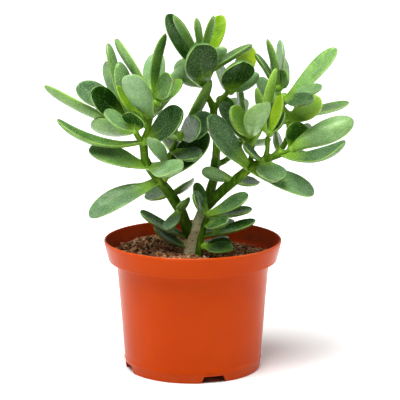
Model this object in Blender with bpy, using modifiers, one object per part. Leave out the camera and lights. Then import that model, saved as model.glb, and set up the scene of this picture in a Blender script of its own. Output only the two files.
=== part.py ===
"""A jade plant in a plastic nursery pot, modelled in metres with +Z up.

The pot, the soil, each grown stem, each opposite pair of leaves and each tip rosette is one named solid.
Plant positions are written in millimetres from the pot's axis on the ground: +X right, +Y back, +Z up.
The pot's axis stands ORIGIN_SHIFT from the world origin, which lies under the middle of the whole plant.
"""
import math

import bmesh
import bpy
import numpy as np
from mathutils import Matrix, Vector
from mathutils.bvhtree import BVHTree
from mathutils.kdtree import KDTree

MM = 0.001
GAP = 0.3 * MM                      # running clearance between touching pieces
WELD = 0.002 * MM
ORIGIN_SHIFT = Vector((-2.5 * MM, -2.5 * MM, 0.0))
COLLECTION_NAME = "potted_jade_plant"

# Pot: radii and heights of the moulding
POT_HEIGHT = 88.5 * MM
RIM_RADIUS = 60 * MM                # outer face of the rim band at the top
RIM_BAND_HEIGHT = 14 * MM
RIM_BAND_TAPER = 3 * MM
SHOULDER_RADIUS = 51.6 * MM         # outer wall just under the rim band
BASE_RADIUS = 45.7 * MM
WALL = 1.6 * MM
LEDGE_DEPTH = 12.5 * MM             # from the lip down to the ledge inside the rim
FLOOR_HEIGHT = 5 * MM               # the bottom plate stands this far above the table
FOOT_BEAD_HEIGHT = 7 * MM
FOOT_BEAD = 0.5 * MM
BEAD_HALF = 1 * MM
LIP = 0.5 * MM                      # height of the rounded lip
LIP_OVERHANG = 0.2 * MM
LEDGE_SETBACK = 0.3 * MM
FLOOR_FILLET = 1 * MM
CENTRE_HOLE_RADIUS = 6 * MM
POT_SEGMENTS = 40
SLOT_COUNT = 4
SLOT_HEIGHT = 4.4 * MM
SLOT_BOTTOM = 18 * MM
SLOT_TOP = 13.5 * MM
SLOT_TURN = math.radians(-72)
SLOT_REACH = 4 * MM                 # the slot cutters stand this far past the wall, inside and outside
SLOT_OVERCUT = 1 * MM
DRAIN_HOLE_RADIUS = 4 * MM
DRAIN_RING_RADIUS = 30 * MM
HOLE_SIDES = 12

# Soil
SOIL_EDGE = 75.2 * MM
SOIL_CROWN = 78.5 * MM
SOIL_LUMP = 0.9 * MM
SOIL_HEAP = 5.5 * MM                # extra height of the heap behind the left of the stem
HEAP_MIDDLE = Vector((-24 * MM, 27 * MM))
HEAP_RADIUS = 38 * MM
SOIL_SIDE_GAP = 0.45 * MM           # running clearance to the tapered wall
SOIL_BOTTOM_INSET = 1.2 * MM
SOIL_SHOULDER = 3 * MM              # the side turns upright this far under the soil's edge
SHOULDER_INSET = 0.25 * MM
SOIL_SEGMENTS = 36
SOIL_RINGS = (0.1, 0.24, 0.42, 0.6, 0.78, 0.92, 1.0)

# Leaves
LEAF_SIDES = 6
# Along the leaf: (place, share of the full width, share of the full thickness)
BLADE = ((0.0, 0.42, 0.5), (0.14, 0.50, 0.62), (0.36, 0.86, 0.95), (0.62, 1.0, 1.0), (0.84, 0.86, 0.86),
         (0.955, 0.50, 0.6))
THICKNESS_BASE = 1.5 * MM
THICKNESS_PER_WIDTH = 0.2
MARGIN_LIFT = 0.1                   # the margins stand this share of the width above the middle
COLLAR = 1.3 * MM                   # joined leaf bases stand this far out from the stem
COLLAR_HEIGHT = 2.4 * MM
COLLAR_SIDES = 8
COLLAR_NARROWING = 0.8              # the collar is this much narrower at its upper side
STEM_SIDES_RESOLUTION = 1

# Leaves grow clear of each other
ROOM_STEPS = 150
ROOM_BETWEEN = 5.2 * MM
ROOM_STEM = 2.9 * MM
ROOM_RATE = 0.22
ROOM_LIMIT = 15 * MM
SIDEWAYS_SHARE = 0.3                # leaves give way mostly front to back
STALK_SHARE = 0.5                   # leaves of one set may crowd each other below this place
STEM_SHARE = 0.4                    # leaves may lie against stems below this place
LEAST_DEPTH_PUSH = 0.6
LONGEST_STEP = 1.2 * MM


# Each shoot: (x, y, z, radius) along its middle, in millimetres
SHOOTS = {
    "trunk": (
        (-1, 0, 65, 5.2), (-1, 0, 78, 5.8), (-1, 0, 85, 5.4), (1, 0, 92, 5.2),
        (4, 1, 100, 4.3), (8, 2, 109, 3.9), (11, 3, 117, 3.5), (14, 4, 128, 3.3),
        (15, 4, 138, 3.4), (16, 4, 149, 2.9), (16, 4, 158, 2.8), (14, 4, 170, 2.7),
        (14, 4, 177, 2.8), (10, 4, 185, 2.2), (8, 4, 193, 2.0), (6, 3, 206, 1.7),
        (5, 3, 212, 1.5),
    ),
    "shoot_t2": (
        (14, 4, 176, 2.2), (19, 5, 183, 1.9), (24, 6, 188, 1.7),
    ),
    "left": (
        (-1, 0, 89, 4.8), (-4, -1, 97, 4.3), (-9, -3, 110, 4.1), (-15, -5, 120, 4.0),
        (-22, -6, 129, 3.8), (-29, -8, 139, 3.4), (-32, -8, 145, 3.2), (-33, -8, 156, 3.0),
        (-30, -7, 164, 2.3), (-28, -6, 173, 2.1), (-26, -3, 181, 1.8), (-26, -1, 187, 1.5),
    ),
    "left_back": (
        (-33, -8, 154, 2.4), (-38, -2, 161, 2.1), (-43, 5, 168, 1.9), (-48, 9, 176, 1.6),
    ),
    "left_front": (
        (-33, -8, 156, 2.0), (-36, -13, 161, 1.7), (-37, -17, 165, 1.5),
    ),
    "middle": (
        (-22, -6, 129, 2.6), (-20, -1, 137, 2.2), (-15, 2, 146, 2.0), (-11, 3, 155, 1.7),
    ),
    "right": (
        (8, 2, 109, 3.9), (14, 0, 116, 4.0), (21, -2, 123, 3.8), (28, -4, 129, 3.7),
        (38, -6, 138, 3.4), (47, -6, 143, 3.0), (54, -6, 146, 2.7), (60, -6, 148, 2.3),
        (65, -6, 150, 1.9),
    ),
    "r1": (
        (38, -6, 137, 2.4), (39, -4, 145, 2.1), (40, -3, 153, 1.9), (39, -2, 159, 1.6),
    ),
    "r2": (
        (48, -6, 143, 2.2), (50, -4, 150, 1.9), (50, -3, 159, 1.6),
    ),
    "r4": (
        (55, -6, 147, 2.3), (61, 0, 152, 2.1), (65, 6, 159, 2.0), (64, 10, 168, 1.9),
        (60, 13, 177, 1.8), (58, 13, 187, 1.5),
    ),
    "centre_side": (
        (15, 4, 138, 2.3), (21, 8, 140, 2.1), (27, 14, 143, 1.9), (32, 20, 148, 1.8),
        (33, 24, 157, 1.6), (32, 26, 167, 1.4),
    ),
    "basal": (
        (4, -11, 72, 2.7), (4, -11, 83, 2.8), (6, -11, 93, 2.5), (8, -11, 101, 2.2),
        (10, -11, 107, 1.9),
    ),
}
# Each grown stem: its shoots, and the stem that it grows out of
STEMS = {
    "main_stem": (("trunk", "shoot_t2", "centre_side"), None),
    "left_branch": (("left", "left_back", "left_front", "middle"), "main_stem"),
    "right_branch": (("right", "r1", "r2", "r4"), "main_stem"),
    "basal_shoot": (("basal",), None),
}
# Each set of leaves: name, shoot, place along the shoot's points, and for each leaf its tip (x, y, z), its
# width, its roll in degrees and how far its middle sags, in millimetres
LEAVES = (
    ("trunk_low_pair", "trunk", 1.65, (
        (-26, -4, 98, 11, -30, 2), (24, 22, 85, 11, 0, 2),
    )),
    ("trunk_high_pair", "trunk", 2.5, (
        (-35, -13, 110, 11, -25, 2), (20, 31, 99, 12, 0, 2),
    )),
    ("left_low_pair", "left", 2, (
        (-17, -21, 99, 13, -5, 1), (-5, -22, 120, 11, -5, 1),
    )),
    ("left_back_pair", "left", 3.1, (
        (-31, 24, 116, 15, 0, 2), (-2, 28, 123, 15, 0, 2),
    )),
    ("left_fork_pair", "left", 4, (
        (-69, -16, 107, 17, -35, -3), (10, 3, 161, 21, 35, 2),
    )),
    ("left_folded_pair", "left", 5.2, (
        (-69, -14, 152, 18, -40, 0), (-8, -45, 145, 18, 10, 2),
    )),
    ("left_long_pair", "left", 7, (
        (-89, -24, 174, 14, -15, 8), (-7, -21, 180, 21, 85, 2),
    )),
    ("left_front_tip", "left_front", 2, (
        (-40, -27, 179, 16, -25, 1), (-58, -22, 179, 13, 20, 1), (-69, 20, 162, 15, 100, 1),
    )),
    ("left_bright_pair", "left", 8.1, (
        (-50, -17, 195, 10, -55, 1), (-36, -3, 192, 9, -30, 1),
    )),
    ("left_main_pair", "left", 9, (
        (-41, -40, 206, 18, 15, 2), (-15, 34, 194, 18, -15, 1),
    )),
    ("left_upper_pair", "left", 9.9, (
        (-7, -13, 198, 11, 90, 1), (-5, 5, 205, 11, -35, 1),
    )),
    ("left_top_tip", "left", 11, (
        (-52, 16, 222, 14, 20, 1), (-18, -10, 229, 14, 50, -2), (-25, 21, 212, 18, -30, 1),
        (-13, -38, 202, 17, 95, 1),
    )),
    ("left_back_low_pair", "left_back", 1.6, (
        (-102, 42, 186, 14, 10, 3), (-49, -1, 209, 15, 20, 2),
    )),
    ("left_back_high_pair", "left_back", 2.3, (
        (-67, -16, 191, 18, -125, 1), (-31, 37, 184, 16, 0, 1),
    )),
    ("left_back_tip", "left_back", 3, (
        (-57, 18, 219, 13, 15, 1), (-60, 33, 204, 14, -20, 1), (-78, 11, 191, 18, -90, 1),
        (-37, 36, 194, 16, 0, 1),
    )),
    ("middle_low_pair", "middle", 1.4, (
        (-27, -30, 163, 13, 10, 1), (-3, 32, 142, 15, 0, 1),
    )),
    ("middle_high_pair", "middle", 2.3, (
        (4, -30, 150, 15, 50, 1), (-17, 33, 156, 15, 0, 1),
    )),
    ("middle_tip", "middle", 3, (
        (13, -25, 176, 17, 110, 1), (5, -33, 174, 17, 120, 1), (12, -8, 198, 15, 55, 2),
        (-21, 34, 171, 15, 0, 1),
    )),
    ("centre_oval_pair", "trunk", 14, (
        (3, -63, 228, 24, -160, 1), (-12, 22, 203, 19, 95, 1),
    )),
    ("centre_wing_pair", "trunk", 14.5, (
        (-17, 4, 240, 16, -40, 1), (40, 18, 218, 14, -5, -1),
    )),
    ("centre_upper_pair", "trunk", 15.1, (
        (20, 7, 239, 15, 45, 1), (22, -6, 219, 10, -50, 1),
    )),
    ("centre_top_tip", "trunk", 16, (
        (2, -8, 239, 10, 65, 1), (13, -33, 243, 11, 40, 1), (-12, -16, 242, 13, -35, 1),
        (9, 44, 219, 14, 0, 1),
    )),
    ("fork_tip", "shoot_t2", 2, (
        (33, -22, 212, 22, -125, 1), (41, 32, 214, 16, 5, 1), (44, 7, 200, 14, -20, 2),
        (18, 64, 200, 15, 0, 1),
    )),
    ("rear_pair", "centre_side", 3.4, (
        (16, 46, 155, 16, 0, 1), (52, 44, 148, 16, 0, 1),
    )),
    ("rear_tip", "centre_side", 5, (
        (17, 23, 182, 14, 20, 1), (31, 30, 187, 14, 0, 1), (46, 33, 174, 15, 0, 1),
        (31, 68, 174, 15, 0, 1),
    )),
    ("right_low_pair", "right", 3, (
        (6, -4, 136, 12, 65, 1), (44, 18, 125, 12, -20, 1),
    )),
    ("right_big_pair", "right", 4, (
        (10, -37, 178, 18, -45, 2), (81, -10, 121, 17, 45, -2),
    )),
    ("right_round_pair", "right", 5, (
        (55, -24, 133, 21, 60, 0), (34, -17, 156, 11, 0, 1),
    )),
    ("right_curved_pair", "right", 6.8, (
        (99, -41, 162, 15, 110, 7), (58, 32, 157, 16, 0, 1),
    )),
    ("right_tip", "right", 8, (
        (73, -2, 168, 19, -55, 1), (107, -8, 171, 19, 20, 3), (83, 14, 142, 12, -30, 1),
        (82, 36, 158, 15, 0, 1),
    )),
    ("upright_one_pair", "r1", 2, (
        (18, -10, 183, 13, -75, 1), (56, 1, 204, 10, -25, 1),
    )),
    ("upright_one_tip", "r1", 3, (
        (44, -61, 191, 18, 5, 1), (25, -34, 183, 15, -110, 1), (37, 19, 171, 14, 0, 1),
    )),
    ("upright_two_tip", "r2", 2, (
        (42, -29, 196, 9, -45, 1), (59, -12, 188, 10, 90, 1), (61, -5, 176, 12, 40, 1),
        (52, 14, 181, 13, -40, 1),
    )),
    ("tall_low_pair", "r4", 2.9, (
        (86, 4, 183, 18, 85, 1), (52, 42, 168, 15, 0, 1),
    )),
    ("tall_mid_pair", "r4", 3.5, (
        (107, 38, 176, 13, 35, 3), (48, 55, 187, 13, 0, 1),
    )),
    ("tall_high_pair", "r4", 4.1, (
        (97, 23, 215, 16, 25, 1), (44, 33, 192, 13, 95, 1),
    )),
    ("tall_upper_pair", "r4", 4.6, (
        (85, -14, 194, 11, 35, 1), (78, -34, 188, 13, 30, 1),
    )),
    ("tall_top_tip", "r4", 5, (
        (50, 10, 223, 11, -60, -1), (42, 19, 212, 10, 15, -1), (59, 28, 220, 11, -40, 1),
        (62, 4, 202, 12, 85, 1), (61, 47, 206, 16, -130, 1),
    )),
    ("basal_tip", "basal", 4, (
        (1, -25, 125, 11, -60, 1), (2, -5, 128, 11, -20, 1), (37, -16, 122, 13, 40, 1),
        (40, 1, 109, 12, 5, 1),
    )),
    ("basal_high_pair", "basal", 3, (
        (22, -42, 109, 13, 55, 1), (25, 17, 106, 12, 0, 1),
    )),
    ("basal_mid_pair", "basal", 2, (
        (42, -14, 104, 11, 20, 1), (27, 21, 97, 11, 0, 1),
    )),
    ("basal_low_pair", "basal", 1.3, (
        (26, -28, 87, 13, 30, 0), (26, -10, 89, 11, 25, 1),
    )),
)


def collection(name):
    made = bpy.data.collections.new(name)
    bpy.context.scene.collection.children.link(made)
    return made


def clear_scene():
    for ob in list(bpy.data.objects):
        bpy.data.objects.remove(ob, do_unlink=True)


def material(name, colour, roughness):
    made = bpy.data.materials.new(name)
    made.use_nodes = True
    shader = made.node_tree.nodes["Principled BSDF"]
    shader.inputs["Base Color"].default_value = (*colour, 1.0)
    shader.inputs["Roughness"].default_value = roughness
    shader.inputs["Metallic"].default_value = 0.0
    return made


def add_object(name, mesh, group):
    ob = bpy.data.objects.new(name, mesh)
    group.objects.link(ob)
    return ob


def mesh_from(name, bm):
    bmesh.ops.recalc_face_normals(bm, faces=bm.faces)
    mesh = bpy.data.meshes.new(name)
    bm.to_mesh(mesh)
    bm.free()
    return mesh


def whole_body(bm):
    """Keeps the largest connected body and drops the crumbs that a cut leaves."""
    left = set(bm.verts)
    largest = set()
    while left:
        found = {left.pop()}
        edge = list(found)
        while edge:
            for link in edge.pop().link_edges:
                for vert in link.verts:
                    if vert in left:
                        left.remove(vert)
                        found.add(vert)
                        edge.append(vert)
        if len(found) > len(largest):
            largest = found
    bmesh.ops.delete(bm, geom=[v for v in bm.verts if v not in largest], context="VERTS")


def evaluated_mesh(ob, weld=WELD):
    """The object's mesh with its modifiers applied, welded, in world space."""
    depsgraph = bpy.context.evaluated_depsgraph_get()
    mesh = bpy.data.meshes.new_from_object(ob.evaluated_get(depsgraph))
    bm = bmesh.new()
    bm.from_mesh(mesh)
    bmesh.ops.remove_doubles(bm, verts=bm.verts, dist=weld)
    whole_body(bm)
    bmesh.ops.transform(bm, matrix=ob.matrix_world, verts=bm.verts)
    bmesh.ops.recalc_face_normals(bm, faces=bm.faces)
    bm.to_mesh(mesh)
    bm.free()
    return mesh


def is_closed(mesh):
    """True where every edge joins two faces."""
    bm = bmesh.new()
    bm.from_mesh(mesh)
    closed = bool(bm.faces) and all(edge.is_manifold for edge in bm.edges)
    bm.free()
    return closed


def combine(ob, others, operation):
    """Joins the other objects to this one, or cuts them from it, and applies the result."""
    for other in others:
        step = ob.modifiers.new(operation.lower(), "BOOLEAN")
        step.operation = operation
        step.solver = "EXACT"
        step.object = other
        bpy.context.view_layer.update()
        mesh = evaluated_mesh(ob)
        if not is_closed(mesh):
            step.solver = "MANIFOLD"
            bpy.context.view_layer.update()
            mesh = evaluated_mesh(ob)
        ob.modifiers.clear()
        ob.data = mesh


def drop(objects):
    for ob in objects:
        bpy.data.objects.remove(ob, do_unlink=True)


def box(ob):
    points = np.array([v.co for v in ob.data.vertices])
    return points.min(axis=0), points.max(axis=0)


def boxes_meet(one, other):
    return bool((one[0] <= other[1]).all() and (other[0] <= one[1]).all())


def near(ob, others):
    """The others whose boxes meet this object's box."""
    return [o for o in others if boxes_meet(box(ob), box(o))]


# --- stems ---------------------------------------------------------------------------------------------

def shoot_points(name):
    return [(Vector(p[:3]) * MM, p[3] * MM) for p in SHOOTS[name]]


def shoot_place(name, place):
    """The middle of the shoot at a place between its points, its direction there and its radius."""
    points = shoot_points(name)
    i = min(int(place), len(points) - 2)
    share = place - i
    (a, ra), (b, rb) = points[i], points[i + 1]
    return a.lerp(b, share), (b - a).normalized(), ra + (rb - ra) * share


def tube(name, points, extra, group):
    """A tube through the points, made a closed mesh. extra is added to each radius."""
    curve = bpy.data.curves.new(name, "CURVE")
    curve.dimensions = "3D"
    curve.bevel_depth = 1.0
    curve.bevel_resolution = STEM_SIDES_RESOLUTION
    curve.use_fill_caps = True
    spline = curve.splines.new("POLY")
    spline.points.add(len(points) - 1)
    for point, (place, radius) in zip(spline.points, points):
        point.co = (*place, 1.0)
        point.radius = radius + extra
    guide = add_object(name + "_curve", curve, group)
    bpy.context.view_layer.update()
    ob = add_object(name, evaluated_mesh(guide), group)
    drop([guide])
    return ob


def grown_stem(name, extra, group):
    shoots, _ = STEMS[name]
    tubes = [tube(f"{name}_{s}", shoot_points(s), extra, group) for s in shoots]
    stem = tubes[0]
    if len(tubes) > 1:
        combine(stem, tubes[1:], "UNION")
        drop(tubes[1:])
    stem.name = name
    return stem


# --- leaves --------------------------------------------------------------------------------------------

class Leaf:
    def __init__(self, shoot, place, values):
        x, y, z, width, roll, sag = values
        self.node, self.stem_way, self.stem_radius = shoot_place(shoot, place)
        self.tip = Vector((x, y, z)) * MM
        self.width = width * MM
        self.roll = math.radians(roll)
        self.sag = sag * MM
        self.thickness = THICKNESS_BASE + THICKNESS_PER_WIDTH * self.width
        self.moved = Vector((0.0, 0.0, 0.0))
        self.order = self.tip.y

    def frame(self):
        """Base, chord, the way across the blade and the way its upper side faces."""
        tip = self.tip + self.moved
        way = (tip - self.node).normalized()
        out = (way - self.stem_way * way.dot(self.stem_way)).normalized()
        base = self.node + out * self.stem_radius * 0.45
        chord = tip - base
        way = chord.normalized()
        up = (self.stem_way - way * way.dot(self.stem_way)).normalized()
        up = Matrix.Rotation(self.roll, 3, way) @ up
        return base, chord, way.cross(up), up

    def middle(self, place, frame):
        base, chord, _, up = frame
        return base + chord * place - up * self.sag * 4 * place * (1 - place)

    def ring(self, place, wide, thick, frame):
        _, _, across, up = frame
        middle = self.middle(place, frame)
        half = self.width * wide / 2
        deep = self.thickness * thick
        lift = self.width * MARGIN_LIFT * wide
        corners = ((1.0, lift), (0.42, 0.2 * deep), (-0.42, 0.2 * deep), (-1.0, lift), (-0.5, -0.8 * deep),
                   (0.5, -0.8 * deep))
        return [middle + across * (c * half) + up * height for c, height in corners]

    def mesh(self, name):
        bm = bmesh.new()
        frame = self.frame()
        rings = [[bm.verts.new(p) for p in self.ring(*step, frame)] for step in BLADE]
        for low, high in zip(rings, rings[1:]):
            for i in range(LEAF_SIDES):
                j = (i + 1) % LEAF_SIDES
                bm.faces.new((low[i], low[j], high[j], high[i]))
        bm.faces.new(reversed(rings[0]))
        tip = bm.verts.new(self.middle(1.0, frame))
        for i in range(LEAF_SIDES):
            bm.faces.new((rings[-1][i], rings[-1][(i + 1) % LEAF_SIDES], tip))
        return mesh_from(name, bm)

    def samples(self):
        """Points over the blade, each with its place along the leaf."""
        frame = self.frame()
        across = frame[2]
        found = []
        for place in (0.2, 0.34, 0.48, 0.62, 0.76, 0.88, 0.97):
            wide = np.interp(place, [b[0] for b in BLADE], [b[1] for b in BLADE])
            for side in (-0.85, 0.0, 0.85):
                found.append((self.middle(place, frame) + across * (side * self.width * wide / 2), place))
        return found


def make_room(sets):
    """Moves leaf tips a little until blades and stems no longer crowd each other, as growing leaves do."""
    leaves = [(s, leaf) for s, (_, members) in enumerate(sets) for leaf in members]
    stem_points = []
    for name in SHOOTS:
        points = shoot_points(name)
        for (a, ra), (b, rb) in zip(points, points[1:]):
            steps = max(1, int((b - a).length / (3 * MM)))
            stem_points += [(a.lerp(b, k / steps), ra + (rb - ra) * k / steps) for k in range(steps + 1)]
    stem_tree = KDTree(len(stem_points))
    for i, (p, _) in enumerate(stem_points):
        stem_tree.insert(p, i)
    stem_tree.balance()
    reach = max(r for _, r in stem_points) + ROOM_STEM
    for _ in range(ROOM_STEPS):
        rows = [(p, t, i) for i, (_, leaf) in enumerate(leaves) for p, t in leaf.samples()]
        tree = KDTree(len(rows))
        for k, (p, _, _) in enumerate(rows):
            tree.insert(p, k)
        tree.balance()
        push = [Vector((0.0, 0.0, 0.0)) for _ in leaves]
        for p, t, i in rows:
            mine, leaf = leaves[i]
            for q, k, distance in tree.find_range(p, ROOM_BETWEEN):
                _, t2, j = rows[k]
                if j == i or (leaves[j][0] == mine and min(t, t2) < STALK_SHARE):
                    continue
                way = p - q
                sign = 1.0 if (leaf.order, i) > (leaves[j][1].order, j) else -1.0
                way.y = sign * max(abs(way.y), LEAST_DEPTH_PUSH * ROOM_BETWEEN)
                way.x *= SIDEWAYS_SHARE
                way.z *= SIDEWAYS_SHARE
                push[i] += way.normalized() * (ROOM_BETWEEN - distance) * t
            if t < STEM_SHARE:
                continue
            for q, k, distance in stem_tree.find_range(p, reach):
                need = stem_points[k][1] + ROOM_STEM
                if distance < need:
                    push[i] += (p - q).normalized() * (need - distance) * t
        for (_, leaf), way in zip(leaves, push):
            step = way * ROOM_RATE
            if step.length > LONGEST_STEP:
                step *= LONGEST_STEP / step.length
            leaf.moved += step
            if leaf.moved.length > ROOM_LIMIT:
                leaf.moved *= ROOM_LIMIT / leaf.moved.length


def collar(name, shoot, place, at_tip, group):
    """The ring of joined leaf bases round a node, or the bud that closes a shoot's tip."""
    middle, way, radius = shoot_place(shoot, place)
    if at_tip:
        middle = middle + way * (GAP + COLLAR_HEIGHT / 2)
    bm = bmesh.new()
    outer = radius + COLLAR
    upper = radius + COLLAR * COLLAR_NARROWING
    bmesh.ops.create_cone(bm, cap_ends=True, segments=COLLAR_SIDES, radius1=outer, radius2=upper,
                          depth=COLLAR_HEIGHT)
    turn = Vector((0, 0, 1)).rotation_difference(way).to_matrix().to_4x4()
    bmesh.ops.transform(bm, matrix=Matrix.Translation(middle) @ turn, verts=bm.verts)
    return add_object(name, mesh_from(name, bm), group)


def leaf_set(name, shoot, place, members, clearances, group, scratch):
    at_tip = place >= len(SHOOTS[shoot]) - 1
    ob = collar(name, shoot, place, at_tip, group)
    blades = [add_object(f"{name}_{i}", leaf.mesh(f"{name}_{i}"), scratch) for i, leaf in enumerate(members)]
    combine(ob, blades, "UNION")
    drop(blades)
    combine(ob, near(ob, clearances), "DIFFERENCE")
    return ob


def swollen(ob, scratch):
    """A copy of the object that stands GAP further out all over, to cut its neighbours clear."""
    mesh = ob.data.copy()
    normals = [v.normal.copy() for v in mesh.vertices]
    for vert, normal in zip(mesh.vertices, normals):
        vert.co += normal * GAP
    return add_object(ob.name + "_clearance", mesh, scratch)


def surfaces_meet(one, other):
    trees = []
    for ob in (one, other):
        bm = bmesh.new()
        bm.from_mesh(ob.data)
        trees.append(BVHTree.FromBMesh(bm))
        bm.free()
    return bool(trees[0].overlap(trees[1]))


def dent(sets_made, scratch):
    """Where two leaves still press on each other, the later one is dented by the earlier one."""
    cutters = []
    for i, later in enumerate(sets_made):
        for earlier in cutters[:i]:
            if boxes_meet(box(later), box(earlier)) and surfaces_meet(later, earlier):
                combine(later, [earlier], "DIFFERENCE")
        cutters.append(swollen(later, scratch))
    drop(cutters)


# --- pot and soil --------------------------------------------------------------------------------------

def wall_radius(height):
    """The outer radius of the tapered wall at a height."""
    top = POT_HEIGHT - RIM_BAND_HEIGHT
    return BASE_RADIUS + (SHOULDER_RADIUS - BASE_RADIUS) * height / top


def turned(name, profile, group):
    """A solid turned from a closed outline of (radius, height) points, listed down the outer side."""
    bm = bmesh.new()
    verts = [bm.verts.new((r, 0.0, z)) for r, z in profile]
    for a, b in zip(verts, verts[1:] + verts[:1]):
        bm.edges.new((a, b))
    mesh = bpy.data.meshes.new(name)
    bm.to_mesh(mesh)
    bm.free()
    ob = add_object(name, mesh, group)
    screw = ob.modifiers.new("turn", "SCREW")
    screw.steps = POT_SEGMENTS
    screw.render_steps = POT_SEGMENTS
    screw.use_merge_vertices = True
    screw.merge_threshold = 0.00001
    screw.use_normal_calculate = True
    bpy.context.view_layer.update()
    ob.data = evaluated_mesh(ob)
    ob.modifiers.clear()
    return ob


def pot(group, scratch):
    band = POT_HEIGHT - RIM_BAND_HEIGHT
    ledge = POT_HEIGHT - LEDGE_DEPTH
    floor_top = FLOOR_HEIGHT + WALL
    bead_top = FOOT_BEAD_HEIGHT + BEAD_HALF
    bead_bottom = FOOT_BEAD_HEIGHT - BEAD_HALF
    fillet_top = floor_top + FLOOR_FILLET
    outline = [
        (RIM_RADIUS - WALL / 2, POT_HEIGHT),
        (RIM_RADIUS + LIP_OVERHANG, POT_HEIGHT - LIP),
        (RIM_RADIUS + LIP_OVERHANG, POT_HEIGHT - 3 * LIP),
        (RIM_RADIUS - RIM_BAND_TAPER, band),
        (wall_radius(band), band),
        (wall_radius(bead_top), bead_top),
        (wall_radius(FOOT_BEAD_HEIGHT) + FOOT_BEAD, FOOT_BEAD_HEIGHT),
        (wall_radius(bead_bottom), bead_bottom),
        (BASE_RADIUS, 0.0),
        (BASE_RADIUS - WALL, 0.0),
        (wall_radius(FLOOR_HEIGHT) - WALL, FLOOR_HEIGHT),
        (CENTRE_HOLE_RADIUS, FLOOR_HEIGHT),
        (CENTRE_HOLE_RADIUS, floor_top),
        (wall_radius(floor_top) - WALL - FLOOR_FILLET, floor_top),
        (wall_radius(fillet_top) - WALL, fillet_top),
        (wall_radius(ledge) - WALL, ledge),
        (RIM_RADIUS - RIM_BAND_TAPER - WALL - LEDGE_SETBACK, ledge),
        (RIM_RADIUS - WALL, POT_HEIGHT - LIP),
    ]
    body = turned("pot", outline, group)
    cutters = [drain_slot(i, scratch) for i in range(SLOT_COUNT)]
    cutters += [drain_hole(i, scratch) for i in range(SLOT_COUNT)]
    combine(body, cutters, "DIFFERENCE")
    return body


def mark_cutter(ob):
    ob.hide_render = True
    ob.display_type = "WIRE"
    return ob


def drain_slot(index, scratch):
    """A slot through the foot, wider at the table than at its top."""
    name = f"slot_cutter_{index}"
    bm = bmesh.new()
    low, high = SLOT_BOTTOM / 2, SLOT_TOP / 2
    outline = ((-low, -SLOT_OVERCUT), (low, -SLOT_OVERCUT), (high, SLOT_HEIGHT), (-high, SLOT_HEIGHT))
    corners = []
    for radius in (BASE_RADIUS - WALL - SLOT_REACH, BASE_RADIUS + SLOT_REACH):
        for across, height in outline:
            corners.append(bm.verts.new((radius, across, height)))
    inner, outer = corners[:4], corners[4:]
    bm.faces.new(inner)
    bm.faces.new(outer)
    for i in range(4):
        j = (i + 1) % 4
        bm.faces.new((inner[i], inner[j], outer[j], outer[i]))
    turn = Matrix.Rotation(SLOT_TURN + index * 2 * math.pi / SLOT_COUNT, 4, "Z")
    bmesh.ops.transform(bm, matrix=turn, verts=bm.verts)
    return mark_cutter(add_object(name, mesh_from(name, bm), scratch))


def drain_hole(index, scratch):
    name = f"hole_cutter_{index}"
    bm = bmesh.new()
    angle = SLOT_TURN + (index + 0.5) * 2 * math.pi / SLOT_COUNT
    bmesh.ops.create_cone(bm, cap_ends=True, segments=HOLE_SIDES, radius1=DRAIN_HOLE_RADIUS,
                          radius2=DRAIN_HOLE_RADIUS, depth=4 * WALL)
    middle = Vector((math.cos(angle) * DRAIN_RING_RADIUS, math.sin(angle) * DRAIN_RING_RADIUS, FLOOR_HEIGHT))
    bmesh.ops.translate(bm, vec=middle, verts=bm.verts)
    return mark_cutter(add_object(name, mesh_from(name, bm), scratch))


def soil_height(angle, share, radius):
    """The soil's top at an angle and a share of its radius: lumpy, higher in the middle and in the heap."""
    rise = SOIL_EDGE + (SOIL_CROWN - SOIL_EDGE) * (1 - share ** 2)
    place = Vector((math.cos(angle), math.sin(angle))) * share * radius
    inside = max(0.0, 1 - ((place - HEAP_MIDDLE).length / HEAP_RADIUS) ** 2)
    broad = math.sin(3 * angle + 0.7) * 0.5
    lumps = broad + math.sin(5 * angle + 9 * share) * 0.3 + math.cos(11 * share + angle) * 0.2
    return rise + SOIL_HEAP * inside ** 2 + SOIL_LUMP * lumps * min(1.0, 2.5 * share)


def ring_of(bm, steps, radius, heights):
    return [bm.verts.new((math.cos(a) * radius, math.sin(a) * radius, z)) for a, z in zip(steps, heights)]


def soil(group):
    """The soil fills the pot from the bottom plate up to a lumpy top."""
    bottom = FLOOR_HEIGHT + WALL + GAP
    ledge = POT_HEIGHT - LEDGE_DEPTH
    shoulder = SOIL_EDGE - SOIL_SHOULDER
    low = wall_radius(bottom + FLOOR_FILLET) - WALL - SOIL_BOTTOM_INSET
    top = wall_radius(ledge) - WALL - SOIL_SIDE_GAP
    steps = [2 * math.pi * i / SOIL_SEGMENTS for i in range(SOIL_SEGMENTS)]
    bm = bmesh.new()
    rings = [
        ring_of(bm, steps, low, [bottom] * SOIL_SEGMENTS),
        ring_of(bm, steps, top - SHOULDER_INSET, [shoulder] * SOIL_SEGMENTS),
    ]
    for share in reversed(SOIL_RINGS):
        rings.append(ring_of(bm, steps, top * share, [soil_height(a, share, top) for a in steps]))
    for below, above in zip(rings, rings[1:]):
        for i in range(SOIL_SEGMENTS):
            j = (i + 1) % SOIL_SEGMENTS
            bm.faces.new((below[i], below[j], above[j], above[i]))
    bm.faces.new(reversed(rings[0]))
    crown = bm.verts.new((0.0, 0.0, soil_height(0.0, 0.0, top)))
    for i in range(SOIL_SEGMENTS):
        bm.faces.new((rings[-1][i], rings[-1][(i + 1) % SOIL_SEGMENTS], crown))
    return add_object("soil", mesh_from("soil", bm), group)


# --- the whole plant -----------------------------------------------------------------------------------

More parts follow.
